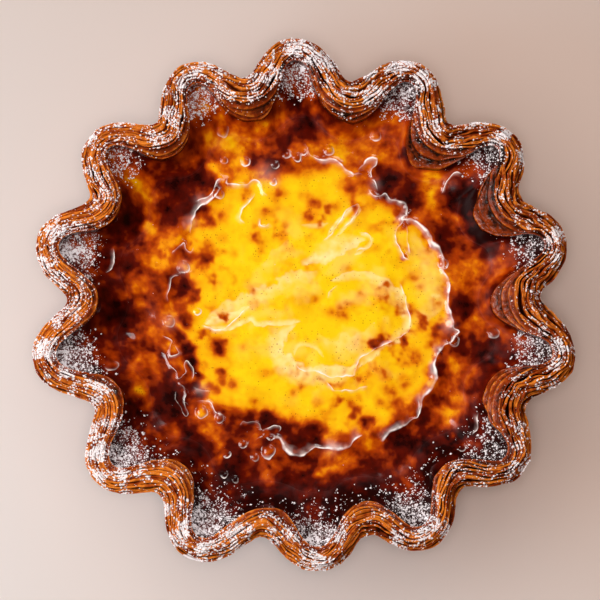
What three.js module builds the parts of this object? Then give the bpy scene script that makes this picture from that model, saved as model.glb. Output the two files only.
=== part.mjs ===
// A custard tart in a fluted case of puff pastry, as one baked in a flared, fluted tin.
// Units are millimetres, +Z is up, and the origin is the middle of the flat base.
// +X is the right of the tart and +Y is its far side, as someone looking down on it sees them.
import * as THREE from "three";
import { ParametricGeometry } from "three/addons/geometries/ParametricGeometry.js";

// Driving sizes of the case
const RIM_RADIUS = 48.5; // middle of the wavy rim, halfway between its lobes and its notches
const FLUTE_DEPTH = 3.5; // the rim's middle line swings this far out and in
const RIM_HEIGHT = 38; // highest leaf edge above the base
const BASE_RADIUS = 34.2; // widest part of the rounded foot
const FLOOR_THICKNESS = 4.2; // pastry under the custard

// The flutes: an even ring of lobes, each pushed a little by the baking
const FLUTES = 14;
const FIRST_LOBE_DEG = 14;
const LOBE_TURN_DEG = [0, -0.6, -0.6, 1, 0.6, -0.2, -1, -1, 0.5, 0.5, 1.5, 0.5, -0.5, 0];
const LOBE_REACH = [-0.4, -0.2, -0.4, -0.6, -0.4, 0.3, 0.7, 1.2, 0.6, 1.7, -0.8, 0.4, 0.6, 0.7];
const NOTCH_REACH = [0.9, -0.8, -1.6, -0.2, -0.4, 0.6, 0.1, -0.5, 0.7, 0.1, 0.5, 0.9, 1.0, -0.4];
const LOBE_FULLNESS = 0.035; // flattens the tops of the lobes and steepens their flanks
const NORMAL_SHARE = 0.6; // how far the rim's width turns from radial to square with its wave

// The laminated rim: thin leaves of dough on edge, side by side
const BAND_LEAVES = 6; // leaves in the crown of the rim
const LEAF_PITCH = 1.08; // from one leaf to the next, square to the wave
const BAND_OUTER = 3.0; // the outermost leaf stands this far outside the rim's middle line
const CROWN_DROP = 2.2; // how much lower the outermost leaf's edge is
const TERRACE_LEAVES = 2; // lower leaves that step down to the custard
const TERRACE_DROP = 2.3; // height lost at each of those steps
const GROOVE_DEPTH = 0.9; // of the gaps between leaf edges
const LEAF_UNEVEN = 0.45; // leaf edges rise and fall by this much along the rim

// The custard
const CUSTARD_LEVEL = 29.3; // where its skin meets the pastry, on the low side
const SKIN_CLIMB = 2.2; // it has crept this much higher up the pastry on the opposite side
const LOW_SIDE_DEG = 85;
const CUSTARD_INSET = 5.2; // that edge lies this far inside the rim's middle line
const CUSTARD_GAP = 0.3; // between custard and pastry
const POOL_RADIUS = 29; // crease round the pale middle
const POOL_MIDDLE = new THREE.Vector2(1.1, 1);
const SKIN_UNEVEN = 0.3; // slow swells in the skin

// Fineness of the faceted solids
const STEPS_PER_FLUTE = 16;
const SLICES = FLUTES * STEPS_PER_FLUTE;

// Smooth closed curve through evenly spaced values, read at any place t counted in values.
function loopThrough(values, t) {
  const n = values.length;
  const i = Math.floor(t);
  const f = t - i;
  const [a, b, c, d] = [-1, 0, 1, 2].map((k) => values[(((i + k) % n) + n) % n]);
  const slopeB = (c - a) / 2;
  const slopeC = (d - b) / 2;
  const rise = c - b;
  return b + f * (slopeB + f * (3 * rise - 2 * slopeB - slopeC + f * (slopeB + slopeC - 2 * rise)));
}

const REACH = LOBE_REACH.flatMap((lobe, k) => [lobe, NOTCH_REACH[k]]);

// Direction, in the plane, of a place on the rim. One unit of t is one flute, and whole numbers are lobes.
function bearing(t) {
  const degrees = FIRST_LOBE_DEG + (360 / FLUTES) * t + loopThrough(LOBE_TURN_DEG, t);
  return THREE.MathUtils.degToRad(degrees);
}

// How far the wave stands out at t, where 1 is an even lobe and -1 an even notch.
function wave(t) {
  const turn = 2 * Math.PI * t;
  const even = (Math.cos(turn) - LOBE_FULLNESS * Math.cos(3 * turn)) / (1 - LOBE_FULLNESS);
  return even + loopThrough(REACH, 2 * t) / FLUTE_DEPTH;
}

function rimPoint(t) {
  const radius = RIM_RADIUS + FLUTE_DEPTH * wave(t);
  return new THREE.Vector2(Math.cos(bearing(t)), Math.sin(bearing(t))).multiplyScalar(radius);
}

// The direction in which the rim's width is measured: between straight out and square to the wave.
function acrossRim(t) {
  const step = 0.01;
  const along = rimPoint(t + step).sub(rimPoint(t - step)).normalize();
  const square = new THREE.Vector2(along.y, -along.x);
  const outward = rimPoint(t).normalize();
  return outward.lerp(square, NORMAL_SHARE).normalize();
}

// A ring of the tart's section: a mean radius, the depth of its flutes, a shift across the rim, a height,
// and the place in the plane that it goes round.
const AXIS = new THREE.Vector2(0, 0);
const ring = (radius, flute, across, height, middle = AXIS) => ({ radius, flute, across, height, middle });
const pole = (height, middle) => ring(0, 0, 0, height, middle);

// A leaf's edge is never level: slow waves along the rim, out of step from leaf to leaf.
function leafHeight(level, leaf) {
  const slow = (t) => 0.6 * Math.sin(2.3 * leaf + (2 * Math.PI * 5 * t) / FLUTES);
  const quick = (t) => 0.4 * Math.sin(4.1 * leaf + (2 * Math.PI * 17 * t) / FLUTES);
  return (t) => level + LEAF_UNEVEN * (slow(t) + quick(t) - 1);
}

// The leaf edges from the outside of the rim to the custard, with a groove before each leaf but the first.
function leafRings() {
  const rings = [];
  const middle = (BAND_LEAVES - 1) / 2;
  for (let leaf = 0; leaf < BAND_LEAVES + TERRACE_LEAVES; leaf++) {
    const across = BAND_OUTER - leaf * LEAF_PITCH;
    const steps = Math.max(0, leaf - BAND_LEAVES + 1);
    const crown = Math.max(0, 1 - leaf / middle) ** 2;
    const edge = leafHeight(RIM_HEIGHT - CROWN_DROP * crown - TERRACE_DROP * steps, leaf);
    const groove = (t) => edge(t) - GROOVE_DEPTH;
    if (leaf > 0) rings.push(ring(RIM_RADIUS, FLUTE_DEPTH, across + LEAF_PITCH / 2, groove));
    rings.push(ring(RIM_RADIUS, FLUTE_DEPTH, across, edge));
  }
  return rings;
}

const OUTER_WALL = [
  ring(BASE_RADIUS - 1.6, 1.3, 0, 0),
  ring(BASE_RADIUS, 1.6, 0, 1.1),
  ring(38.3, 2.2, 0, 11),
  ring(42.8, 2.8, 0.3, 21.5),
  ring(46.6, 3.3, 1.2, 30),
];

// How far up the pastry the custard's skin has crept at t.
function climb(t) {
  const fromLowSide = bearing(t) - THREE.MathUtils.degToRad(LOW_SIDE_DEG);
  return (SKIN_CLIMB * (1 - Math.cos(fromLowSide))) / 2;
}

// Where the custard meets the pastry, from the level of its skin down to the floor.
const SEAT = [
  ring(RIM_RADIUS, FLUTE_DEPTH, -CUSTARD_INSET, (t) => CUSTARD_LEVEL + climb(t)),
  ring(36.2, 2.2, 0, 17),
  ring(30.4, 1.2, 0, FLOOR_THICKNESS),
];

// Places a ring's point at t.
function place({ radius, flute, across, height, middle }, t, target) {
  const reach = radius + flute * wave(t);
  const side = acrossRim(t);
  const x = middle.x + Math.cos(bearing(t)) * reach + side.x * across;
  const y = middle.y + Math.sin(bearing(t)) * reach + side.y * across;
  return target.set(x, y, typeof height === "function" ? height(t) : height);
}

// A closed solid skinned over rings that run from a pole under it to a pole on top of it.
function skinOver(rings) {
  const from = new THREE.Vector3();
  const to = new THREE.Vector3();
  const surface = (u, v, target) => {
    const row = v * (rings.length - 1);
    const lower = Math.min(Math.floor(row + 1e-9), rings.length - 2);
    const t = (u % 1) * FLUTES;
    place(rings[lower], t, from);
    place(rings[lower + 1], t, to);
    target.lerpVectors(from, to, row - lower);
  };
  return new ParametricGeometry(surface, SLICES, rings.length - 1);
}

// Puff pastry: a fluted wall with a laminated edge on a thick floor, open at the top.
function makePastryCase() {
  const rings = [pole(0), ...OUTER_WALL, ...leafRings(), ...SEAT, pole(FLOOR_THICKNESS)];
  const material = new THREE.MeshStandardMaterial({ color: 0xa4581f, roughness: 0.6, metalness: 0 });
  const mesh = new THREE.Mesh(skinOver(rings), material);
  mesh.name = "pastry_case";
  return mesh;
}

// The custard's skin from the pastry to the middle: a dip, a shoulder, a crease and the pale pool inside it.
function skinRings() {
  const swell = (level, phase, climbShare) => (t) => {
    const slow = Math.sin(phase + (2 * Math.PI * 3 * t) / FLUTES);
    return level + SKIN_UNEVEN * slow + climbShare * climb(t);
  };
  return [
    ring(41, 2.4, -2.5, swell(CUSTARD_LEVEL - 0.5, 0, 0.6)),
    ring(POOL_RADIUS + 6, 0.7, 0, swell(CUSTARD_LEVEL - 0.9, 0.4, 0.3)),
    ring(POOL_RADIUS + 1.6, 0, 0, swell(CUSTARD_LEVEL - 0.3, 0.8, 0), POOL_MIDDLE),
    ring(POOL_RADIUS - 0.8, 0, 0, swell(CUSTARD_LEVEL - 1.5, 1.2, 0), POOL_MIDDLE),
    ring(POOL_RADIUS / 2, 0, 0, CUSTARD_LEVEL - 1.1, POOL_MIDDLE),
  ];
}

// Baked custard: fills the case to its skin, clear of the pastry by the gap.
function makeCustard() {
  const inset = ({ radius, flute, across, height }) => ring(radius, flute, across - CUSTARD_GAP, height);
  const [skinEdge, belly, foot] = SEAT.map(inset);
  foot.height += CUSTARD_GAP;
  const top = pole(CUSTARD_LEVEL - 1.2, POOL_MIDDLE);
  const rings = [pole(foot.height), foot, belly, skinEdge, ...skinRings(), top];
  const material = new THREE.MeshStandardMaterial({ color: 0xf0ae1a, roughness: 0.15, metalness: 0 });
  const mesh = new THREE.Mesh(skinOver(rings), material);
  mesh.name = "custard";
  return mesh;
}

const tart = new THREE.Group();
tart.add(makePastryCase(), makeCustard());

export default tart;
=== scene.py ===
"""A custard tart in a fluted case of puff pastry: its fine surfaces, materials, light and camera.

The tart's working lengths are millimetres in its own frame, +Z up from the middle of its base. They become
metres when a piece is made. The camera, the lights and the floor are set out in metres.
"""
import itertools

import bpy
import numpy as np
from mathutils import Matrix


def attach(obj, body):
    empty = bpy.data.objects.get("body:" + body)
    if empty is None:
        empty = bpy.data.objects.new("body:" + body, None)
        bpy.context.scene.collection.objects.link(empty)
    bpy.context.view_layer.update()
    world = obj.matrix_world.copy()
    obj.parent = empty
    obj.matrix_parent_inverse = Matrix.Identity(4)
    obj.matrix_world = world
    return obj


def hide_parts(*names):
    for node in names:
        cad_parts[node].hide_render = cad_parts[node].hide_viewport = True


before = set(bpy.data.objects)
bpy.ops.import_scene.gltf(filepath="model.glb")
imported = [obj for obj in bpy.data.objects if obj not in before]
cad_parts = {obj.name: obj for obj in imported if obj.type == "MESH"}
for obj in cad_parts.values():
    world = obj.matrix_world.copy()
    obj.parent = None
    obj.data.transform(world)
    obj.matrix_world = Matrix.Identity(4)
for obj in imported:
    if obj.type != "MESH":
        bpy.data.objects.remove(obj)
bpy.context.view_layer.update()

bl_info = {
    "name": "Custard tart",
    "version": (1, 0, 0),
    "blender": (4, 5, 0),
    "location": "View3D > Sidebar > Tart",
    "description": "Builds a custard tart in a fluted case of puff pastry",
    "category": "Object",
}

MM = 0.001
BODY = "root"

# The rim's wave, as in the solids
FLUTES = 14
FIRST_LOBE_DEG = 14
LOBE_TURN_DEG = [0, -0.6, -0.6, 1, 0.6, -0.2, -1, -1, 0.5, 0.5, 1.5, 0.5, -0.5, 0]
LOBE_REACH = [-0.4, -0.2, -0.4, -0.6, -0.4, 0.3, 0.7, 1.2, 0.6, 1.7, -0.8, 0.4, 0.6, 0.7]
NOTCH_REACH = [0.9, -0.8, -1.6, -0.2, -0.4, 0.6, 0.1, -0.5, 0.7, 0.1, 0.5, 0.9, 1.0, -0.4]
LOBE_FULLNESS = 0.035
NORMAL_SHARE = 0.6

# How far in from the rim's middle line the inner leaves reach in each notch: most where the custard sank
NOTCH_SPREAD = [6.1, 6.4, 4.4, 4.7, 4.3, 3.5, 3, 2.3, 4.6, 2.3, 3.2, 2.6, 5.4, 5.4]
CROWN_LEAVES = 10

# Middle of the yellow pool, and how far past its radius the yellow runs, every 15 degrees
POOL_X, POOL_Y = 1.1, 1.0
POOL_EDGE = [-0.5, -1, -1.5, -3, -3, -1, -1.8, -1.8, 0.7, 1.5, 0.2, -2.2, -1.3, -1.2, -2.5, -0.8, -2, -4.5,
             -4, -0.5, 0.5, 0.5, 0, -0.3]
# The skin is two pieces that cross this far past the pool's radius. Over the lap each dives under the other
JOIN_PAST, JOIN_LAP, JOIN_DIVE = 3.0, 1.5, 0.5
POOL_DEPTH = 2.5  # of the closed piece in the middle

# Nearly black patches in the custard's skin: x, y, radius
DARK_PATCHES = [
    (-22, 26, 5), (-26, 23.5, 5), (-28, 19.5, 3), (-24, 21, 4.5), (-4, 34.5, 3.5), (0.4, 38, 4.6),
    (-1.5, 42, 3), (-10.5, 31, 2.2), (-6.5, 29.8, 2.2), (18, 26.6, 3.8), (20.5, 23.5, 3.6),
    (21.8, 21.9, 2.6), (15.5, 28.5, 2.2), (30.5, 23, 3.5), (33, 21, 2.5), (29.3, 16.3, 2.5),
    (30.2, 12.9, 2.5), (32.4, -0.3, 2.5), (36, 14.8, 3), (38.3, 11.3, 2.5), (37, -9, 3), (31.8, -8.6, 2),
    (28, -12.7, 1.8), (27.4, -19.6, 2.2), (24.6, -23, 2.5), (33.6, -24.6, 2.5), (26, -29.3, 4),
    (20, -28, 3), (1.1, -27.4, 2.8), (-0.7, -27.7, 2.6), (-10.7, -22.9, 2), (-8, -23.8, 2.5),
    (-4, -24.8, 2.5), (2, -25.6, 2.2), (-11.6, -25.2, 1.8), (-14.8, -33.9, 4), (-10, -37.4, 4),
    (-2.3, -37.4, 4), (6, -38.5, 4), (14, -36, 4), (-26, -21.8, 3), (-28.5, -17.4, 3.5), (-21, -29.3, 2.5),
    (-24, -28.3, 2.5), (-26, -6, 1.6), (-24, -8.5, 1.6), (-23, -11.5, 1.6), (-22.5, -14, 1.6),
    (-23, -17, 1.6), (-21.5, -18.5, 1.5), (-25, 4.5, 2.5), (-25.5, 2.5, 2.5), (-36.6, -2, 3.7), (-37, 9, 4),
    (-35.7, 18, 3), (-33, 30, 3), (-24.4, -3, 1.6), (12.7, -23.3, 1.8),
]

# Brown spots in and round the yellow middle: x, y, radius
BROWN_SPOTS = [
    (9.8, 25, 2.3), (-24, 10.5, 2.5), (-17.6, -8.5, 2), (-16.9, -14.9, 1.5), (-18.5, -16.8, 1.4),
    (-14.8, -16, 1.3), (-8.5, -13.6, 1.2), (-12.6, -8.3, 0.9), (-2.3, -17.7, 0.9), (-10.2, -19.6, 1.3),
    (1.1, 18.5, 1.6), (2.1, 21.6, 1.5), (6.4, 21.3, 1), (-5.4, 23.5, 1.5), (-11.6, 23.8, 1),
    (-17, 18.8, 1.2), (-17, 14.4, 1.2), (-19.4, 17.2, 1.3), (-14.7, 11.3, 0.9), (-19.8, 12.9, 1.2),
    (-7.6, 19.8, 1.2), (-21.6, 8.5, 1.5), (22.4, 6.3, 1.1), (23.9, 4.4, 1), (28, 3.5, 1), (16.8, 4.8, 1.2),
    (19.3, 1.3, 0.8), (14.9, 12.3, 0.6), (17.5, 11.6, 0.6), (25.8, 12.3, 1.3), (24.9, 14.8, 1),
    (7.7, -1, 1.7), (5.5, -1, 1.2), (8.8, 0.4, 1.2), (11.4, 2.8, 1), (2.1, 1.7, 0.9), (22.4, -10.2, 1.6),
    (15.5, -6.8, 1.1), (17.7, -17.4, 1.6), (16.8, -14.6, 1.3), (20.5, -15.6, 1.6), (27, -5.2, 1.8),
    (15.5, -19.6, 1.2), (9.6, -19.9, 1.2), (19.9, -20.5, 2), (3, -19.6, 0.8), (3.9, -21.8, 0.8),
    (11.1, -18.6, 0.8), (-10.2, 3.7, 0.6), (-8.9, 4.2, 0.5), (-2, 7.6, 0.6), (0.6, 8.3, 0.6),
    (16.3, 5.2, 0.8), (19.4, 2, 0.6),
]

# Patches of the browned ring that stayed orange or yellow: x, y, radius
ORANGE_PATCHES = [
    (-13, 30.5, 2), (-18, 28.5, 2), (-19.4, 35, 1.6), (-14.7, 33.5, 2), (-32.5, 23.5, 2), (-28, 13.5, 2),
    (-30.7, 9, 2), (-33, 3.8, 1.8), (-33.3, -0.2, 1.5), (-37.5, 1.6, 1.5), (-28.2, 3, 1.2), (-32, 16, 1.8),
    (-8.5, 37.6, 1.5), (7.7, 34, 2.2), (10.5, 32.6, 1.6), (19.6, 29.4, 1.6), (26, 22, 2.4),
    (27.4, 19.4, 1.8), (31, 5, 1.8), (33, 7.3, 1.8), (31, 18.5, 1.4), (27.7, 27.9, 1.6), (35, 8.5, 1.6),
    (30.5, -12, 1.6), (29.3, -21.8, 2), (31.8, -18.6, 1.6), (12.7, -28, 1.6), (4.3, -31, 1.6),
    (4.3, -33.3, 1.3), (3, -34.4, 1.2), (9.9, -31.8, 1.6), (7.7, -30.5, 1.6), (4.9, -27, 1.2),
    (21.8, -32, 1.2), (-0.8, -33.6, 1.5), (-7.3, -35.2, 1.8), (-19, -26, 2.2), (-17.2, -28, 1.6),
    (-21.3, -22, 1.2), (-16, -20, 1.6), (-26.2, -26.4, 2.2), (-31.5, -5.6, 2.2), (-34, -11, 2),
    (-30.4, -12, 1.6), (-27.2, -8.6, 1.2), (-32.6, -17.7, 1.5), (-31.3, -21, 1.5), (-16.6, -30.8, 1.2),
]

# Pale swirls in the yellow middle, paler custard with painted sheen of soft light on it, sharp along their
# left
# side: a path, half width and strength
SWIRLS = [
    ([(-20.4, -3.9), (-16.5, -1.6), (-11.5, 0.9), (-6.5, 3.4), (-1, 5.9), (3, 7.2)], 2, 0.5),
    ([(-20.6, -3.8), (-17.3, -2.8), (-13.6, -1.4), (-11, 0.2)], 0.8, 1),
    ([(-0.7, -3), (-5, -3.3), (-9.4, -3.6), (-10.8, -2.4), (-12.5, -3.2), (-15.5, -4.5),
      (-20.2, -4.3)], 0.6, 0.9),
    ([(-1.5, -3.2), (-5, -6), (-5.7, -8.5), (-4.6, -11.7), (-1.5, -13.6), (3.6, -14), (9, -13.4),
      (11, -11.8)], 1.9, 0.75),
    ([(4, -10.5), (2.6, -8.6), (0.5, -7.6), (-1.6, -8.2), (-2.2, -10.2)], 0.4, 0.5),
    ([(12.8, 14.4), (8, 13), (3.5, 10.8), (-0.8, 8.8)], 1.9, 0.8),
    ([(11.5, 15.2), (13.6, 14.3), (13.4, 12.8), (11.5, 11.5), (10.2, 10.8)], 0.4, 0.8),
    ([(4.6, 14), (7, 17.8), (10.4, 20.6), (11, 19.8), (9, 17.2), (6.4, 14.5)], 0.4, 0.8),
    ([(5.4, 5.2), (9.8, 6.6), (14.7, 5.9), (18.3, 3.6), (20.3, 0.3), (21, -3), (19.5, -6), (16, -8),
      (12.5, -10.5), (10.8, -12.8)], 1, 0.6),
    ([(2, -6), (7, -8.5), (12, -7), (15, -3)], 4, 0.28),
    ([(22, 16), (24.5, 9), (25.5, 2), (24.5, -5)], 3.2, 0.22),
    ([(25.5, 2.5), (28.5, 2)], 1.4, 0.5),
    ([(-0.7, 17), (2, 16.7), (5, 17.4)], 0.5, 0.5),
    ([(-9, 8), (-5, 11), (-3, 14)], 2.2, 0.2),
]

# Wrinkles of the glaze: a path, height and half width. Each also carries a painted highlight along its crest
WRINKLES = [
    ([(-22.6, 21.9), (-20, 22.7), (-18.5, 24.4), (-17.9, 26), (-16.3, 26.3), (-15.4, 25.5), (-12.3, 25.4),
      (-10, 26.3), (-8.5, 24.1), (-7.3, 22.9)], 0.3, 0.5),
    ([(-16.9, 25), (-18.6, 22.6), (-21.6, 20.4), (-23.1, 18), (-23.4, 15.2)], 0.4, 0.75),
    ([(0.2, 34), (0.8, 31.9), (2.7, 30.8), (6.1, 30.8), (8, 29.1), (9.6, 28), (12.1, 27.3)], 0.3, 0.45),
    ([(11, 28.2), (12.1, 29.8), (13.3, 31), (14.9, 31), (15, 30), (13.9, 28.5), (13.9, 27.3), (14.7, 25.7),
      (15, 24.4)], 0.28, 0.4),
    ([(13.2, 24.8), (13.9, 23.5), (15.5, 23), (16.8, 23.7), (18.3, 22.4), (20.8, 21.5), (21.1, 19.4),
      (20.3, 18.5), (22.7, 17.9), (24.6, 16.6), (25.8, 15.1), (26.4, 13.5), (27.7, 12.3), (28.5, 10.7),
      (28.6, 9.1), (28.8, 6.9), (29.9, 5.1), (29.6, 2.3), (29.5, 0.5), (30.2, -1.8), (30.5, -4.3),
      (31.8, -4.9), (30.2, -7.1), (28.6, -8), (27.4, -9.9), (26.6, -12.1), (26.8, -13.6), (27.1, -14.9),
      (25.8, -17.1), (24.3, -18.6), (23.6, -20.8), (23.3, -22.7), (21.8, -23.3), (20.5, -24.3),
      (18.6, -25.2), (16.8, -26.4), (15.5, -27.7)], 0.36, 0.8),
    ([(11.8, -26.4), (10.5, -27.1), (9.3, -28.6), (7.7, -29.3), (5.8, -29.3), (3.6, -28.9), (2.1, -28.9),
      (0.5, -29.9), (-0.7, -30.8), (-2.3, -30.3), (-3.8, -29.3), (-5.1, -27.4), (-6.6, -26.8)], 0.34, 0.85),
    ([(-10.1, 23.5), (-11.6, 21.6), (-12.9, 20), (-13.2, 18.2), (-12.2, 17.3)], 0.22, 0.4),
    ([(-9.1, 18.5), (-9.1, 17), (-7.9, 16.6), (-7.1, 17.6)], 0.2, 0.36),
    ([(-27.2, 10.7), (-26.3, 11.9), (-25, 13.2), (-24.4, 11.9), (-23.2, 11.3), (-22.7, 12.2)], 0.16, 0.3),
    ([(-25.4, 6.5), (-27.2, 5.8), (-27.6, 4.1), (-28.2, 2.2), (-27.9, 0.7)], 0.16, 0.3),
    ([(-29.3, -5.8), (-27.2, -7.1), (-27.6, -8.6), (-27.1, -10.5), (-25.7, -9.6), (-26.6, -8)], 0.16, 0.26),
    ([(-29.4, -10.5), (-28.5, -9.9), (-27.6, -11.8), (-26.3, -13.3), (-25.7, -14.9), (-24.4, -13.9),
      (-24.6, -12.1), (-23.8, -11.4), (-22.6, -13.3), (-22.9, -15.5)], 0.16, 0.26),
    ([(-26, -15.5), (-24.4, -17.1), (-24.4, -19.6), (-23.7, -22.4), (-24.4, -22.7), (-25.4, -20.8),
      (-26.3, -19.3), (-26, -17.4)], 0.16, 0.26),
    ([(-22.9, -16.8), (-21, -17.1), (-19.1, -17.4)], 0.18, 0.35),
    ([(-21.9, -19.6), (-19.4, -19.6), (-17.9, -21.8), (-16, -22.4)], 0.18, 0.35),
    ([(-13.2, -24.6), (-12.6, -23.6), (-11.6, -23.9), (-9.4, -23.9), (-8.8, -25.2), (-8.3, -26.4),
      (-9.8, -27.4)], 0.18, 0.32),
    ([(-8.8, -25.5), (-5.7, -24.6), (-4.8, -24.9), (-5.4, -25.8)], 0.16, 0.3),
    ([(-39.1, 11.9), (-39, 9.8), (-39.6, 7.6), (-40.7, 6.8)], 0.26, 0.4),
    ([(35.3, -21.8), (35.2, -25.2), (33.9, -26.4)], 0.28, 0.42),
    ([(28.3, 23.5), (29.3, 26), (31.1, 27.9), (32.4, 27.6)], 0.26, 0.5),
    ([(3.9, 13.5), (5.5, 15.4), (7.4, 18.2), (8.3, 19.8), (11, 21.2), (11.1, 20.1), (9.9, 18.2), (8.3, 16.5)],
     0.18, 0.38),
    ([(20.7, 18.2), (18.9, 15.7), (19.3, 13.2), (20.5, 11), (21.6, 9.9)], 0.2, 0.36),
    ([(21, 17.3), (21.3, 14.1), (21.8, 10.7)], 0.16, 0.34),
    ([(11.4, 15.4), (13.3, 15.1), (13.9, 13.8), (13.2, 12.3), (11.1, 11.9), (10.2, 10.8)], 0.17, 0.36),
    ([(4.7, 1.9), (5.4, 3.4), (6.8, 4.4)], 0.2, 0.4),
    ([(19.6, 5.1), (20.8, 2.3), (21.3, -0.9), (21.8, -3), (21.1, -5.2), (18.3, -6.8), (14.9, -8.6),
      (11.4, -10.5), (10.5, -13), (9.9, -14.1), (7.1, -14.4), (4.9, -14.4), (2.1, -13.3), (-0.4, -13),
      (-1.7, -12)], 0.16, 0.4),
    ([(4.3, -15.5), (5.8, -16.9), (8.3, -17.2), (11.1, -16.9), (13, -16.1)], 0.18, 0.38),
    ([(-21, -4), (-18.8, -4.6), (-16.3, -4.6), (-14.8, -3.3), (-11.6, -0.2)], 0.2, 0.5),
]

# Bubbles under the glaze: x, y, radius
BUBBLES = [
    (-16.9, 36.3, 1.2), (-16.6, 30.4, 0.7), (-12.2, 30.1, 0.9), (-6.3, 26, 0.8), (-6, 29.4, 0.8),
    (-3.6, 31.5, 0.9), (-1.6, 31, 0.9), (-0.3, 32, 0.6), (5, 32.6, 1.1), (-17.6, 23.2, 1), (-24.8, 8, 1.2),
    (-27.6, -3.3, 1.2), (-21.9, -1.1, 0.7), (14.7, 35.6, 1), (38.8, -5.2, 1.2), (-7.3, -29.9, 1.4),
    (-10.1, -31, 0.8), (-12.4, -28.2, 0.8), (-15.7, -30.5, 0.7), (-6.9, -26.9, 0.6), (-17.3, -23, 1),
    (-21, -21.8, 1.2), (-16.3, -34.6, 0.7), (-14.1, -35.5, 0.7), (32, -29, 0.8), (28.6, 9.1, 1.1),
    (-39.3, -12.4, 1.3), (30.8, -7, 1),
]

# Patches of painted sheen on the glaze, in the glint colour: x, y, radius
SHEEN_PATCHES = [
    (-7.9, 27.6, 1.8), (-6.3, 26, 1), (-24.8, 8, 1.1), (-23.3, 17.5, 1), (-21.5, 22, 1), (-27.6, -3.3, 1.2),
    (-21, -17.2, 1.2), (14.6, 25.5, 1), (29.5, -4, 1.2), (5.5, -29, 1.2),
]

# How thickly icing sugar lies in the pocket behind each lobe
POCKET_SUGAR = [0.3, 0.35, 0.7, 0.75, 0.55, 0.3, 0.9, 0.9, 1, 0.8, 1.2, 0.7, 0.2, 0.45]

# Bearings, in radians, of the sides where baking, colour and sugar differ. The pale sides and the fine side
# lie towards the lights, and their lighter colour is painted light
FINE_LEAVES_SIDE = 3.6  # leaves lie close there and are least torn
SHUT_GAPS_SIDE = 4.0  # leaves have no gaps between them
PALE_TERRACES_SIDE = 3.8
PALE_SKIN_SIDE = 2.7
SUGARED_SIDES = 0.8  # sugar is thick here and on the side opposite
POWDERED_SIDE, CLUMPED_SIDE = 2.4, 3.0  # fine sugar and clumps are a little thicker

# Rings of the pastry, as in the solids: mean radius, depth of flute, shift across the rim and height
WALL_RINGS = [(38.3, 2.2, 0, 11), (42.8, 2.8, 0.3, 21.5), (46.6, 3.3, 1.2, 30)]
FLOOR_THICKNESS = 4.2
SEAT_RINGS = [(36.2, 2.2, 0, 17), (30.4, 1.2, 0, FLOOR_THICKNESS)]
# Past this place across the rim, the terraces and the skin's edge step down
TERRACE_START = -3.1
SKIN_EDGE_HEIGHT = 34.6
LIP_HEIGHT = 36.2  # of the smooth leaf's inner edge

# Rings of the custard's side: mean radius, depth of flute and height
CUSTARD_FOOT = 4.5
CUSTARD_RINGS = [(30.2, 1.2, CUSTARD_FOOT), (36, 2.2, 17), (41.5, 2.8, 26)]
CUSTARD_GAP = 0.3

# Section of a leaf on edge: places across it in half thicknesses, and depths of its flanks under its top
LEAF_ACROSS = np.array(
    [1, 1, 1, 0.95, 0.8, 0.5, 0.25, 0.1, -0.05, -0.4, -0.65, -0.8, -0.92, -1, -1, -1])[:, None]
LEAF_FLANKS = np.array([5, 2, 0.6, 0, 0, 0, 0, 0, 0, 0, 0, 0, 0, 0.6, 2, 5])[:, None]
LEAF_STEP = 40.5  # from one leaf to the next in the noise, far enough for leaves to differ

# A clump of sugar: a flattened octahedron
CLUMP_CORNERS = np.array([(1, 0, 0), (-1, 0, 0), (0, 1, 0), (0, -1, 0), (0, 0, 0.6), (0, 0, -0.6)])
CLUMP_FACES = np.array(
    [(0, 2, 4), (2, 1, 4), (1, 3, 4), (3, 0, 4), (2, 0, 5), (1, 2, 5), (3, 1, 5), (0, 3, 5)])

# Fineness of the pieces
LEAF_COLUMNS, WALL_COLUMNS, SKIN_COLUMNS, POOL_COLUMNS = 1230, 980, 900, 640
WALL_ROW = 0.95
SKIN_ROWS, POOL_ROWS = 98, 150

# Soft lights: place and width in metres, colour, whether glaze mirrors it, and what it does with the floor
LIGHTS = {
    "key": ((-0.36, 0.0, 0.42), 0.3, "#ffffff", True, "EXCLUDE"),
    "back": ((0.12, 0.5, 0.5), 0.3, "#ffffff", True, "EXCLUDE"),
    "top": ((-0.22, 0.06, 0.77), 0.9, "#fff3ed", False, None),
    "wash": ((-0.03, -0.107, 0.79), 0.15, "#ffffff", False, "INCLUDE"),
    "window": ((-0.2, -0.06, 0.16), 0.16, "#afe2ff", False, "INCLUDE"),
}


def linear(hex_colour):
    """An sRGB hex colour as linear red, green, blue and full alpha."""
    channels = [int(hex_colour[i:i + 2], 16) / 255 for i in (1, 3, 5)]
    return tuple(c / 12.92 if c <= 0.04045 else ((c + 0.055) / 1.055) ** 2.4 for c in channels) + (1.0,)


def length_property(name, description, millimetres):
    """A length that a user can change, given in millimetres and kept in metres."""
    return bpy.props.FloatProperty(
        name=name, description=description, default=millimetres * MM, min=0.0, unit="LENGTH", precision=5)


def colour_property(name, description, hex_colour):
    """A colour that a user can change, given as sRGB hex and kept as linear."""
    return bpy.props.FloatVectorProperty(
        name=name, description=description, default=linear(hex_colour), size=4, min=0.0, max=1.0,
        subtype="COLOR")


def count_property(name, description, count):
    """A whole number that a user can change."""
    return bpy.props.IntProperty(name=name, description=description, default=count, min=0)


def power_property(name, description, watts):
    """A light's power that a user can change."""
    return bpy.props.FloatProperty(name=name, description=description, default=watts, min=0.0, unit="POWER")


def angle_property(name, description, degrees):
    """An angle that a user can change, given in degrees and kept in radians."""
    return bpy.props.FloatProperty(
        name=name, description=description, default=np.radians(degrees), subtype="ANGLE")


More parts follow.
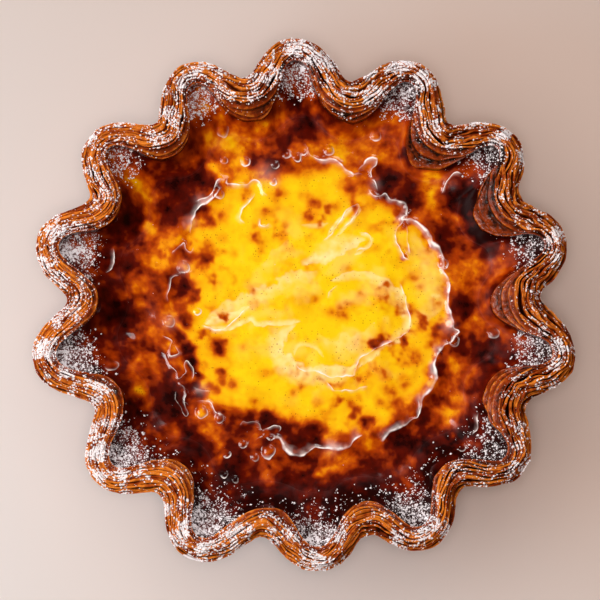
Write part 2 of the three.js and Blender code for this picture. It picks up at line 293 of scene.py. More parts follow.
class PastrySettings(bpy.types.PropertyGroup):
    """Sizes and colours of the puff pastry."""

    rim_radius: length_property("Rim radius", "Middle of the wavy rim", 48.5)
    flute_depth: length_property("Flute depth", "Swing of the rim's middle line", 3.5)
    rim_height: length_property("Rim height", "Highest leaf edge above the base", 38)
    foot_radius: length_property("Foot radius", "Widest part of the rounded foot", 34.2)
    crown_outer: length_property("Crown outer edge", "From that line out to the rim's edge", 3.3)
    crown_inner: length_property("Crown inner edge", "From that line in to the smooth leaves", 2.4)
    golden: colour_property("Golden", "Palest baked pastry", "#de7e27")
    brown: colour_property("Brown", "Well baked pastry", "#92350b")
    # The darkest pastry, also the painted shade deep in the gaps between leaves
    darkest: colour_property("Burnt", "Pastry deep in the gaps", "#1c0602")


class CustardSettings(bpy.types.PropertyGroup):
    """Sizes and colours of the baked custard."""

    level: length_property("Level", "Height of the skin round the crease", 29.3)
    pool_radius: length_property("Pool radius", "Crease round the yellow middle", 29)
    yellow: colour_property("Yellow", "Custard that stayed pale", "#ffd00a")
    amber: colour_property("Amber", "Lightly browned custard", "#ee9603")
    copper: colour_property("Copper", "Custard on the way to brown", "#cc5c02")
    brown: colour_property("Brown", "Browned custard", "#a43602")
    dark: colour_property("Dark", "Well browned custard", "#580d01")
    darkest: colour_property("Burnt", "Nearly black custard", "#1f0201")
    # Cream colours the swirls: paler custard with painted sheen of soft light on it
    cream: colour_property("Cream", "Swirls of paler custard", "#ffeca4")
    # Glint is the colour of painted highlights on the glaze's wrinkles and bubbles, and of its painted sheen
    # patches
    glint: colour_property("Glint", "Milky edges of thick glaze", "#fff0e8")


class SugarSettings(bpy.types.PropertyGroup):
    """The icing sugar."""

    grain: length_property("Grain", "Usual half size of a clump", 0.1)
    on_pastry: count_property("On pastry", "Clumps on the rim", 9500)
    on_custard: count_property("On custard", "Clumps on the skin", 9000)
    seed: count_property("Seed", "Start of the random draws", 7)
    white: colour_property("White", "Dry icing sugar", "#f0eaec")


class StageSettings(bpy.types.PropertyGroup):
    """Floor, light and camera."""

    floor: colour_property("Floor", "Pale floor", "#e3cdc0")
    key_power: power_property("Key power", "Soft light from the left, on the tart alone", 2)
    back_power: power_property("Back power", "Soft light from the far side, on the tart alone", 1)
    top_power: power_property("Top power", "Wide light from above and left", 4)
    wash_power: power_property("Wash power", "Light from above on the floor alone", 2)
    window_power: power_property("Window power", "Cool light from the left on the floor alone", 0.38)
    tilt: angle_property("Tilt", "Of the camera from straight above", 8)
    heading: angle_property("Heading", "Side that the camera leans to", -15)


# Shapes worked out as arrays


def corner_slopes(ix, iy, iz, seed):
    """Three random slopes from -1 to 1 fixed by whole-number places, from the bits of one mixed number."""
    h = (ix * 374761393 + iy * 668265263 + iz * 1103515245 + seed * 1274126177) & 0xFFFFFFFF
    h = ((h ^ (h >> 13)) * 1274126177) & 0xFFFFFFFF
    h = h ^ (h >> 16)
    return [(h >> shift & 1023) / 511.5 - 1 for shift in (0, 10, 20)]


def noise_layer(x, y, z, size, seed):
    """A smooth random field of about -1 to 1: planes through the corners of cubes, blended by a quintic."""
    cells, offsets, shares = [], [], []
    for place in (x, y, z):
        scaled = np.asarray(place, float) / size
        cell = np.floor(scaled)
        f = scaled - cell
        cells.append(cell.astype(np.int64))
        offsets.append(f)
        shares.append(f * f * f * (f * (f * 6 - 15) + 10))
    total = 0.0
    for corner in itertools.product((0, 1), repeat=3):
        slopes = corner_slopes(*(c + s for c, s in zip(cells, corner)), seed)
        weight, rise = 1.0, 0.0
        for step, share, offset, slope in zip(corner, shares, offsets, slopes):
            weight = weight * (share if step else 1 - share)
            rise = rise + slope * (offset - step)
        total = total + weight * rise
    return 2.2 * total


def noise(x, y, z, size, seed, layers=1):
    """Layers of random field, each half as large and half as strong as the one before."""
    return sum(noise_layer(x, y, z, size / 2 ** k, seed + k) / 2 ** k for k in range(layers))


def smoothstep(low, high, value):
    """0 at low, 1 at high and past them, and a smooth cubic between. It falls where low is above high."""
    f = np.clip((value - low) / (high - low), 0, 1)
    return f * f * (3 - 2 * f)


def cubic_piece(a, b, c, d, f):
    """The cubic from b to c at share f of the way, with slopes averaged over the points on either side."""
    slope_b, slope_c, rise = (c - a) / 2, (d - b) / 2, c - b
    return b + f * (slope_b + f * (3 * rise - 2 * slope_b - slope_c + f * (slope_b + slope_c - 2 * rise)))


def loop_through(values, t):
    """A smooth closed curve through evenly spaced values, by cubic pieces."""
    values = np.asarray(values, float)
    i = np.floor(t).astype(int)
    a, b, c, d = (values[(i + k) % len(values)] for k in (-1, 0, 1, 2))
    return cubic_piece(a, b, c, d, t - i)


def smooth_path(points, step):
    """Points every step or so along a smooth curve through the given ones, by cubic pieces."""
    p = np.asarray(points, float)
    p = np.vstack([2 * p[0] - p[1], p, 2 * p[-1] - p[-2]])
    pieces = []
    for a, b, c, d in zip(p[:-3], p[1:-2], p[2:-1], p[3:]):
        f = np.linspace(0, 1, max(2, int(np.hypot(*(c - b)) / step)), endpoint=False)[:, None]
        pieces.append(cubic_piece(a, b, c, d, f))
    return np.vstack(pieces + [p[-2:-1]])


class Rim:
    """The wavy line in the middle of the rim, with one unit of t for each flute and a lobe at whole t.

    Its radius is a mean plus a cosine with a little of its third harmonic and small reaches for each lobe and
    notch. The width of the rim is measured along a direction between straight out and square to the wave.
    """

    def __init__(self, settings, count):
        self.radius = settings.rim_radius / MM
        self.depth = settings.flute_depth / MM
        self.crown_inner = settings.crown_inner / MM
        self.t = np.arange(count) * FLUTES / count
        self.bearing = self.bearing_at(self.t)
        self.wave = self.wave_at(self.t)
        self.notch = (1 - np.cos(2 * np.pi * self.t)) / 2
        step = 0.01
        along = self.line_at(self.t + step) - self.line_at(self.t - step)
        along = along / np.hypot(*along)
        square = np.array([along[1], -along[0]])
        self.outward = np.array([np.cos(self.bearing), np.sin(self.bearing)])
        side = self.outward * (1 - NORMAL_SHARE) + square * NORMAL_SHARE
        self.side = side / np.hypot(*side)

    def bearing_at(self, t):
        """Direction of a place on the rim: even steps plus a small turn for each lobe."""
        return np.radians(FIRST_LOBE_DEG + 360 / FLUTES * t + loop_through(LOBE_TURN_DEG, t))

    def wave_at(self, t):
        """How far the wave stands out, where 1 is an even lobe and -1 an even notch."""
        turn = 2 * np.pi * t
        even = (np.cos(turn) - LOBE_FULLNESS * np.cos(3 * turn)) / (1 - LOBE_FULLNESS)
        reach = np.array([LOBE_REACH, NOTCH_REACH]).T.ravel()
        return even + loop_through(reach, 2 * t) / self.depth

    def line_at(self, t):
        """x and y of the rim's middle line: the wave's radius along its bearing."""
        reach = self.radius + self.depth * self.wave_at(t)
        return reach * np.array([np.cos(self.bearing_at(t)), np.sin(self.bearing_at(t))])

    def ring(self, radius, flute, across):
        """x and y of a ring: a mean radius with that depth of flute, shifted across the rim."""
        reach = radius + flute * self.wave
        return np.array([out * reach + side * across for out, side in zip(self.outward, self.side)])

    def shifted(self, across):
        """x and y of the rim's own line, shifted across the rim."""
        return self.ring(self.radius, self.depth, across)

    def inner_edges(self):
        """Across the rim: where the torn leaves end, and how far in the smooth leaf and two terraces reach.

        They spread in the notches, each by its own reach, and close up behind the lobes.
        """
        least, overlap, smooth_width = 1.3, 0.7, 1.2
        reach = least + self.notch * (loop_through(NOTCH_SPREAD, self.t - 0.5) - least)
        torn = -np.minimum(self.crown_inner, reach - overlap)
        smooth = np.maximum(torn - smooth_width, -reach)
        spread = reach + smooth
        return torn, smooth, smooth - 0.12 - 0.55 * spread, smooth - 0.24 - spread

    def skin_edge(self):
        """Place across the rim and height of the skin's edge, which is low where terraces are bare."""
        lowest = self.inner_edges()[3]
        return lowest + 0.45, SKIN_EDGE_HEIGHT + 1.6 * np.minimum(lowest - TERRACE_START, 0)


def wrapped_faces(rows, count, close_rows):
    """Quads of a grid whose columns close on themselves, and its rows too if asked."""
    row = np.arange(rows if close_rows else rows - 1)[:, None]
    col = np.arange(count)[None, :]
    right = (col + 1) % count
    above = (row + 1) % rows
    corners = [row * count + col, row * count + right, above * count + right, above * count + col]
    return np.stack(np.broadcast_arrays(*corners), -1).reshape(-1, 4)


def skin_over(rings, start, end):
    """Points and faces of a closed solid skinned over rings, from a pole at its start to one at its end."""
    rows, count = rings.shape[:2]
    points = np.vstack([rings.reshape(-1, 3), start, end])
    faces = wrapped_faces(rows, count, False).tolist()
    col = np.arange(count)
    right = (col + 1) % count
    last = (rows - 1) * count
    faces += np.stack([np.full(count, rows * count), right, col], -1).tolist()
    faces += np.stack([np.full(count, rows * count + 1), last + col, last + right], -1).tolist()
    return points, faces


def add_piece(name, points, faces, values, material, node=None):
    """Makes a smooth mesh from arrays in millimetres, with one attribute for each named array of values."""
    mesh = bpy.data.meshes.new(name)
    mesh.from_pydata((points * MM).tolist(), [], faces)
    for label, array in values.items():
        attribute = mesh.attributes.new(label, "FLOAT", "POINT")
        attribute.data.foreach_set("value", np.ascontiguousarray(array, np.float32).ravel())
    mesh.polygons.foreach_set("use_smooth", np.ones(len(mesh.polygons), bool))
    mesh.materials.append(material)
    mesh.validate()
    piece = bpy.data.objects.new(name, mesh)
    bpy.context.scene.collection.objects.link(piece)
    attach(piece, BODY)
    if node:
        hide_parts(node)


# Materials. Inputs 6 and 7 of a Mix node are its two colours. Inputs 1 and 2 of a Map Range node are the
# range that it reads, and 3 and 4 the range that it gives.


def add_node(tree, kind, inputs=None, stops=(), **settings):
    """Adds a shader node: settings are its properties, inputs its values or links, stops a ramp's colours.

    An input that is given as a node is linked to that node's first live output.
    """
    node = tree.nodes.new("ShaderNode" + kind)
    for name, value in settings.items():
        setattr(node, name, value)
    for key, value in (inputs or {}).items():
        if isinstance(value, bpy.types.Node):
            value = next(output for output in value.outputs if output.enabled)
        if isinstance(value, bpy.types.NodeSocket):
            tree.links.new(value, node.inputs[key])
        else:
            node.inputs[key].default_value = value
    for index, (place, colour) in enumerate(stops):
        elements = node.color_ramp.elements
        element = elements[index] if index < len(elements) else elements.new(place)
        element.position = place
        element.color = colour
    return node


def new_material(name):
    """A material without nodes, and its tree."""
    material = bpy.data.materials.new(name)
    material.use_nodes = True
    material.node_tree.nodes.clear()
    return material, material.node_tree


def puff_pastry(settings):
    """Browned puff pastry: flaky and matt, golden on its edges, with painted shade deep in its gaps, and
    shiny where glazed.

    Fine sugar on it is white wherever grit, raised by how thickly the sugar lies, passes a threshold.
    """
    material, tree = new_material("browned_puff_pastry")
    flake_size, grit_size, flake_depth = 1.1 * MM, 0.5 * MM, 0.32 * MM
    names = ("bake", "gloss", "dust", "flake")
    bake, gloss, dust, flake = (
        add_node(tree, "Attribute", attribute_name=name).outputs["Fac"] for name in names)
    place = add_node(tree, "TexCoord").outputs["Object"]
    mottle = add_node(tree, "TexNoise", {"Vector": place, "Scale": 1 / flake_size, "Detail": 5})
    shade = add_node(tree, "Math", {0: mottle, 1: 1.1, 2: -0.55}, operation="MULTIPLY_ADD")
    level = add_node(tree, "Math", {0: flake, 1: shade, 2: bake}, operation="MULTIPLY_ADD", use_clamp=True)
    stops = [(0, settings.golden), (0.45, settings.brown), (1, settings.darkest)]
    colour = add_node(tree, "ValToRGB", {"Fac": level}, stops)
    grit = add_node(tree, "TexNoise", {"Vector": place, "Scale": 1 / grit_size, "Detail": 1})
    piled = add_node(tree, "Math", {0: dust, 1: 0.38, 2: grit}, operation="MULTIPLY_ADD")
    powder = add_node(tree, "MapRange", {"Value": piled, 1: 0.73, 2: 0.79})
    dusted = add_node(tree, "Mix", {0: powder, 6: colour, 7: linear("#f6f0f0")}, data_type="RGBA")
    shader = add_node(tree, "BsdfPrincipled", {
        "Base Color": dusted,
        "Roughness": add_node(tree, "MapRange", {"Value": gloss, 3: 0.5, 4: 0.15}),
        "Specular IOR Level": add_node(tree, "MapRange", {"Value": gloss, 3: 0.0, 4: 0.4}),
        "Normal": add_node(
            tree, "Bump", {"Strength": flake, "Distance": flake_depth, "Height": mottle}, invert=True),
    })
    add_node(tree, "OutputMaterial", {"Surface": shader})
    return material


def glazed_custard(settings):
    """Baked custard under clear glaze: yellow to nearly black by its browning, with vanilla specks, and wet.

    Fine sugar lies on it as on the pastry. Its coat is the glaze, thin and dull near the pastry.
    """
    material, tree = new_material("glazed_baked_custard")
    mottle_size, speck_spacing, crowd_size, grit_size = 1.3 * MM, 0.55 * MM, 4 * MM, 0.7 * MM
    names = ("brown", "cream", "seam", "seam_power", "veil", "dust", "coat")
    brown, cream, seam, power, veil, dust, coat = (
        add_node(tree, "Attribute", attribute_name=name).outputs["Fac"] for name in names)
    place = add_node(tree, "TexCoord").outputs["Object"]
    mottle = add_node(tree, "TexNoise", {"Vector": place, "Scale": 1 / mottle_size, "Detail": 3})
    shade = add_node(tree, "Math", {0: mottle, 1: 0.12, 2: -0.06}, operation="MULTIPLY_ADD")
    level = add_node(tree, "Math", {0: brown, 1: shade}, operation="ADD", use_clamp=True)
    stops = [(0.06, settings.yellow), (0.28, settings.amber), (0.42, settings.copper), (0.56, settings.brown),
             (0.78, settings.dark), (1, settings.darkest)]
    colour = add_node(tree, "ValToRGB", {"Fac": level}, stops)
    swirled = add_node(tree, "Mix", {0: cream, 6: colour, 7: settings.cream}, data_type="RGBA")
    # Vanilla specks are dots of uneven size, largest where they crowd
    pods = add_node(
        tree, "TexVoronoi", {"Vector": place, "Scale": 1 / speck_spacing}, voronoi_dimensions="2D")
    crowd = add_node(tree, "TexNoise", {"Vector": place, "Scale": 1 / crowd_size, "Detail": 3})
    drawn = add_node(tree, "Math", {0: pods.outputs["Color"], 1: crowd}, operation="ADD")
    size = add_node(tree, "MapRange", {"Value": drawn, 1: 1.2, 2: 1.5, 3: 0.02, 4: 0.4})
    seed = add_node(tree, "MapRange", {"Value": pods.outputs["Distance"], 1: size, 2: 0.02, 4: 0.85})
    speck = add_node(
        tree, "Mix", {0: seed, 6: swirled, 7: settings.brown}, data_type="RGBA", blend_type="DARKEN")
    # A wrinkle has a painted highlight along its crest, sharp on its outer side and a soft milky painted glow
    # on its inner side
    across = add_node(tree, "MapRange", {"Value": seam, 1: -1, 2: 0.6})
    crest = [(0, 0), (0.3, 0.1), (0.5, 0.3), (0.59, 1), (0.64, 1), (0.71, 0)]
    line = add_node(tree, "ValToRGB", {"Fac": across}, [(at, (grey, grey, grey, 1)) for at, grey in crest])
    glint = add_node(tree, "Math", {0: line, 1: power, 2: veil}, operation="MULTIPLY_ADD", use_clamp=True)
    lined = add_node(tree, "Mix", {0: glint, 6: speck, 7: settings.glint}, data_type="RGBA")
    # Sugar that has melted into the glaze is a grey film under the dry powder, and the film is also painted
    # sheen on the glaze
    wet = add_node(tree, "MapRange", {"Value": dust, 1: 0.05, 2: 0.8, 4: 0.22})
    filmed = add_node(tree, "Mix", {0: wet, 6: lined, 7: linear("#a98a88")}, data_type="RGBA")
    grit = add_node(tree, "TexNoise", {"Vector": place, "Scale": 1 / grit_size, "Detail": 4})
    piled = add_node(tree, "Math", {0: dust, 1: 0.36, 2: grit}, operation="MULTIPLY_ADD")
    powder = add_node(tree, "MapRange", {"Value": piled, 1: 0.75, 2: 0.81})
    white = linear("#f8f2f6")
    # Powder and the painted glints glow a little, as painted light, so they stay bright in the shade of the
    # rim
    bright = add_node(tree, "Math", {0: powder, 1: glint}, operation="MAXIMUM")
    shader = add_node(tree, "BsdfPrincipled", {
        "Base Color": add_node(tree, "Mix", {0: powder, 6: filmed, 7: white}, data_type="RGBA"),
        "Roughness": 0.4,
        "Specular IOR Level": 0.05,
        "Coat Weight": coat,
        "Coat Roughness": add_node(tree, "MapRange", {"Value": coat, 3: 0.4, 4: 0.07}),
        "Emission Color": white,
        "Emission Strength": add_node(tree, "MapRange", {"Value": bright, 4: 0.2}),
    })
    add_node(tree, "OutputMaterial", {"Surface": shader})
    return material


def icing_sugar(settings):
    """Icing sugar: dry white powder, with a weak painted glow that keeps it bright in shade."""
    material, tree = new_material("icing_sugar_powder")
    shader = add_node(tree, "BsdfPrincipled", {
        "Base Color": settings.white,
        "Roughness": 0.9,
        # Painted glow: the sugar gives off a little light of its own
        "Emission Color": settings.white,
        "Emission Strength": 0.15,
    })
    add_node(tree, "OutputMaterial", {"Surface": shader})
    return material


def matt_board(settings):
    """A matt painted board: pale and even, with hardly any shine."""
    material, tree = new_material("matt_painted_board")
    shader = add_node(tree, "BsdfPrincipled", {"Base Color": settings.floor, "Roughness": 0.85})
    add_node(tree, "OutputMaterial", {"Surface": shader})
    return material


# The custard's surface


def patch_field(patches, x, y, full=0.1):
    """How far each place lies in the nearest of several bell-shaped round patches, from 0 to 1.

    A patch is the weaker the more its radius falls short of the full one.
    """
    field = np.zeros_like(x)
    for px, py, radius in patches:
        bell = np.exp(-((x - px) ** 2 + (y - py) ** 2) / radius ** 2)
        field = np.maximum(field, min(1, radius / full) * bell)
    return field


def along_path(points, x, y, reach):
    """Which places lie within reach of a smooth path, how far to its left, and how far from its nearer end.

    The distance is the cross product of the path's direction with the step from its nearest point.
    """
    spacing = 0.25
    path = smooth_path(points, spacing)
    ahead = np.gradient(path, axis=0)
    ahead /= np.linalg.norm(ahead, axis=1, keepdims=True)
    low, high = path.min(0) - reach, path.max(0) + reach
    near = np.flatnonzero((x > low[0]) & (x < high[0]) & (y > low[1]) & (y < high[1]))
    steps = np.stack([x[near], y[near]], -1)[:, None] - path
    first = np.argmin((steps ** 2).sum(-1), 1)
    step = steps[np.arange(len(near)), first]
    close = np.hypot(*step.T) < reach
    side = ahead[first, 0] * step[:, 1] - ahead[first, 1] * step[:, 0]
    from_end = spacing * np.minimum(first, len(path) - 1 - first)
    return near[close], side[close], from_end[close]


def glaze_seams(x, y):
    """The nearest wrinkle's or bubble's edge at each place: signed distance, strength of its painted
    highlight, and height of glaze.

    A wrinkle is a bell-shaped ridge along its path that fades at its ends. A bubble is a low dome with a
    painted highlight on its near right side. Distances to a wrinkle are counted in its own width. Noise bends
    the lines and makes them wider, higher or fainter in places.
    """
    gap, power, height = np.full(len(x), 9.0), np.zeros(len(x)), np.zeros(len(x))
    waver = 0.8 + 0.5 * noise(x, y, 0, 2.2, 31)
    breadth = np.clip(1 + 0.8 * noise(x, y, 0, 4, 35, 2), 0.35, None)
    broken = 0.2 + 0.75 * smoothstep(-0.6, 0.5, noise(x, y, 0, 2.5, 47, 3))
    x, y = x + 0.25 * noise(x, y, 0, 2.4, 33, 2), y + 0.25 * noise(x, y, 0, 2.4, 37, 2)
    for path, tall, half_width in WRINKLES:
        near, side, from_end = along_path(path, x, y, 2.5)
        fade = smoothstep(0, 1.2, from_end)
        side = side / (1.9 * half_width * breadth[near])
        ridge = 0.8 * tall * waver[near] * fade * np.exp(-(2.2 * side) ** 2)
        height[near] = np.maximum(height[near], ridge)
        strength = min(1, tall / 0.2) * fade * smoothstep(1.1, 0.6, np.abs(side)) * broken[near]
        nearest = np.abs(side) < np.abs(gap[near])
        gap[near[nearest]] = side[nearest]
        power[near[nearest]] = strength[nearest]
    for bx, by, radius in BUBBLES:
        out = np.hypot(x - bx, y - by)
        height = np.maximum(height, 0.4 * radius * np.sqrt(np.clip(1 - (out / radius) ** 2, 0, 1)))
        ring = np.abs(out - radius) < np.minimum(0.5 * radius, np.abs(gap))
        gap[ring] = (out - radius)[ring]
        # Painted highlight on the bubble's near right side
        lit = smoothstep(-0.4, 1, (0.5 * (x - bx) - 0.8 * (y - by)) / radius)
        power[ring] = (lit * broken * smoothstep(0.5 * radius, 0.2 * radius, np.abs(out - radius)))[ring]
    return gap, power, height


def swirl_field(x, y):
    """How far the custard is paled by its swirls, which are paler custard with painted sheen of soft light on
    it.

    A swirl is a stroke along its path that ends sharply on the left and fades to the right. It narrows to its
    ends, wavers by noise and is laid over a broad pale tint.
    """
    field = np.zeros_like(x)
    waver = 0.5 * noise(x, y, 0, 3, 41, 3)
    for path, half_width, strength in SWIRLS:
        near, side, from_end = along_path(path, x, y, 2 * half_width)
        width = half_width * (0.25 + 0.75 * smoothstep(0, 3 * half_width, from_end))
        place = side / width + waver[near]
        stroke = strength * smoothstep(0, 0.6 * half_width, from_end)
        stroke = stroke * smoothstep(1.1, 0.8, place) * smoothstep(-1.5, 0.3, place)
        field[near] = np.maximum(field[near], stroke)
    tint = 0.2 * smoothstep(0, 0.9, noise(x, y, 0, 6, 45, 3)) * smoothstep(26, 10, np.hypot(x - 5, y))
    return np.clip(tint + field * (0.85 + 0.4 * noise(x, y, 0, 1.6, 43, 2)), 0, 1)


def pocket_sugar(x, y):
    """How thickly icing sugar lies on the skin: most in the corner behind each lobe, in drifts.

    A corner is a power of a cosine round the rim, times a power of a step outwards. The near side has a
    little sugar all along the skin's edge.
    """
    phase = (np.degrees(np.arctan2(y, x)) - FIRST_LOBE_DEG) / (360 / FLUTES)
    corner = 0.5 + 0.5 * np.cos(2 * np.pi * phase)
    out = np.hypot(x, y)
    drifts = 0.3 + 0.7 * smoothstep(-0.7, 0.6, noise(x, y, 0, 3, 411, 3))
    deep = loop_through(POCKET_SUGAR, phase) * corner ** 1.5 * smoothstep(41, 49, out) ** 1.5
    near_side = 0.025 * smoothstep(-10, -40, y) * smoothstep(37, 42, out)
    return np.minimum((deep + near_side) * drifts, 0.8)


def far_right_drift(bearing):
    """From -1 to 1: how much more sugar fell on the far right of the rim, and how much less on the right."""
    far_right, right = 1.2, 0.4
    return smoothstep(0.8, 1, np.cos(bearing - far_right)) - smoothstep(0.8, 1, np.cos(bearing - right))


def browning(settings, x, y):
    """How browned the skin is, from 0 to 1.

    It is pale inside the crease and mottled brown outside it, more so on the near side. Flecks brown the pale
    part. Dark patches, spots and pale patches then pull it towards their own levels, and noise frays their
    outlines. Noise roughens it all, most where it is brown.
    """
    middle = np.hypot(x - POOL_X, y - POOL_Y)
    frayed_x = x + 0.8 * noise(x, y, 0, 4, 55, 2)
    frayed_y = y + 0.8 * noise(x, y, 5, 4, 57, 2)
    ragged = 0.25 * noise(x, y, 9, 2, 59, 2)
    dark = patch_field(DARK_PATCHES, frayed_x, frayed_y)
    spot = patch_field(BROWN_SPOTS, x + ragged, y - ragged, 1.7)
    orange = patch_field(ORANGE_PATCHES, frayed_x, frayed_y)
    turn = np.degrees(np.arctan2(y - POOL_Y, x - POOL_X)) / (360 / len(POOL_EDGE))
    past = middle - settings.pool_radius / MM - loop_through(POOL_EDGE, turn) + noise(x, y, 0, 5, 51, 2)
    ring = smoothstep(-2.2, 1.8, past)
    edge = smoothstep(33, 41, np.hypot(x, y))
    near_side = smoothstep(5, -25, 0.6 * x + y) * smoothstep(28, 34, middle)
    far_side = smoothstep(8, 28, y - 0.2 * x) * ring
    level = 0.04 + 0.04 * smoothstep(8, 22, middle)
    level = level + 0.48 * ring + 0.08 * edge + 0.14 * near_side - 0.1 * far_side
    flecks = smoothstep(-0.3, 1.2, noise(x, y, 1, 2.8, 71) + 0.3 * noise(x, y, 1, 1.1, 73))
    clusters = smoothstep(-0.3, 0.5, noise(x, y, 3, 8, 75, 2))
    flecks = flecks * (0.1 + 0.38 * clusters * smoothstep(3, 20, middle)) * (1 - 0.8 * spot)
    level = level + (flecks + 0.05 * clusters) * (1 - ring)
    level = level + 0.85 * dark * (0.98 - level) + 0.4 * spot * (1 - ring)
    level = np.maximum(level - 0.32 * orange, np.minimum(level, 0.37))
    mottle = noise(frayed_x, frayed_y, 0, 6, 61, 4) + 0.7 * noise(x, y, 0, 1.8, 65, 3)
    rough = 0.03 + 0.15 * smoothstep(0.15, 0.5, level) - 0.08 * smoothstep(0.75, 0.95, level)
    return np.clip(level + rough * mottle, 0, 1)


def skin_height(settings, x, y):
    """Height of the skin: a level middle, a step up at the crease, a shallow dip, swells and wrinkles."""
    crease = settings.pool_radius / MM
    middle = np.hypot(x - POOL_X, y - POOL_Y)
    step = 0.4 * smoothstep(crease - 2, crease + 1.5, middle + 0.6 * noise(x, y, 0, 6, 81))
    dip = -0.3 * smoothstep(crease + 1, crease + 5, middle)
    swell = 0.25 * noise(x, y, 0, 9, 91, 2) + 0.04 * noise(x, y, 0, 2.6, 95)
    ripple = 0.1 * noise(x, y, 0, 3.2, 97, 2) * smoothstep(crease + 4, crease + 9, middle)
    wrinkles = glaze_seams(x.ravel(), y.ravel())[2].reshape(x.shape)
    return settings.level / MM - 1.2 + step + dip + swell + ripple + wrinkles


# Operators


class TART_OT_stage(bpy.types.Operator):
    """Make the camera, the soft lights and the pale floor"""

    bl_idname = "tart.stage"
    bl_label = "Stage"

    def execute(self, context):
        settings = context.scene.tart_stage
        self.add_camera(context, settings)
        floor = self.add_floor(context, settings)
        for name, light in LIGHTS.items():
            self.add_light(context, name, getattr(settings, name + "_power"), floor, *light)
        self.add_surroundings(context)
        context.scene.view_settings.view_transform = "Standard"
        return {"FINISHED"}

    def add_camera(self, context, settings):
        """The camera looks down on the rim from its tilt and heading, with +Y up in the picture.

        The tart's axis meets the rim's plane at the picture's middle_x and middle_y.
        """
        pixels, middle_x, middle_y = 600, 306, 301
        pixel_size, distance, rim_plane = 0.2022 * MM, 0.6, 0.037
        tilt, heading = settings.tilt, settings.heading
        back = np.array([np.sin(heading) * np.sin(tilt), -np.cos(heading) * np.sin(tilt), np.cos(tilt)])
        right = np.cross(-back, (0, 1, 0))
        right /= np.linalg.norm(right)
        up = np.cross(back, right)
        aim = np.array([0, 0, rim_plane])
        aim = aim - right * (middle_x - pixels / 2) * pixel_size + up * (middle_y - pixels / 2) * pixel_size
        turn = Matrix(np.column_stack([right, up, back]).tolist()).to_4x4()
        camera = bpy.data.cameras.new("camera")
        camera.sensor_width = 36
        camera.lens = camera.sensor_width * distance / (pixels * pixel_size)
        holder = bpy.data.objects.new("camera", camera)
        holder.matrix_world = Matrix.Translation((aim + back * distance).tolist()) @ turn
        context.scene.collection.objects.link(holder)
        context.scene.camera = holder

    def add_floor(self, context, settings):
        """A flat square, far wider than the picture."""
        half = 1.5
        mesh = bpy.data.meshes.new("floor")
        corners = [(-half, -half, 0), (half, -half, 0), (half, half, 0), (-half, half, 0)]
        mesh.from_pydata(corners, [], [(0, 1, 2, 3)])
        mesh.materials.append(matt_board(settings))
        floor = bpy.data.objects.new("floor", mesh)
        context.scene.collection.objects.link(floor)
        return floor

    def add_light(self, context, name, power, floor, place, width, colour, mirrored, floor_state):
        """A round soft light aimed at the tart, which glaze mirrors only if asked.

        Light linking keeps it off the floor, or on the floor alone, so that floor and tart are lit to match.
        """
        light = bpy.data.lights.new(name + "_light", "AREA")
        light.shape = "DISK"
        light.size = width
        light.energy = power
        light.color = linear(colour)[:3]
        holder = bpy.data.objects.new(name, light)
        holder.location = place
        holder.rotation_euler = (-holder.location).to_track_quat("-Z", "Y").to_euler()
        holder.visible_glossy = mirrored
        context.scene.collection.objects.link(holder)
        if floor_state:
            chosen = bpy.data.collections.new(name + "_floor")
            chosen.objects.link(floor)
            chosen.collection_objects[0].light_linking.link_state = floor_state
            holder.light_linking.receiver_collection = chosen

    def add_surroundings(self, context):
        """Dim warm walls that fade to a dark ceiling, so that level glaze mirrors nothing."""
        world = bpy.data.worlds.new("studio")
        world.use_nodes = True
        tree = world.node_tree
        tree.nodes.clear()
        direction = add_node(tree, "SeparateXYZ", {0: add_node(tree, "TexCoord").outputs["Generated"]})
        height = direction.outputs["Z"]
        strength = add_node(tree, "MapRange", {"Value": height, 1: 0.1, 2: 0.6, 3: 0.3, 4: 0.0})
        walls = add_node(tree, "Background", {"Color": linear("#ffd2bd"), "Strength": strength})
        add_node(tree, "OutputWorld", {"Surface": walls})
        context.scene.world = world


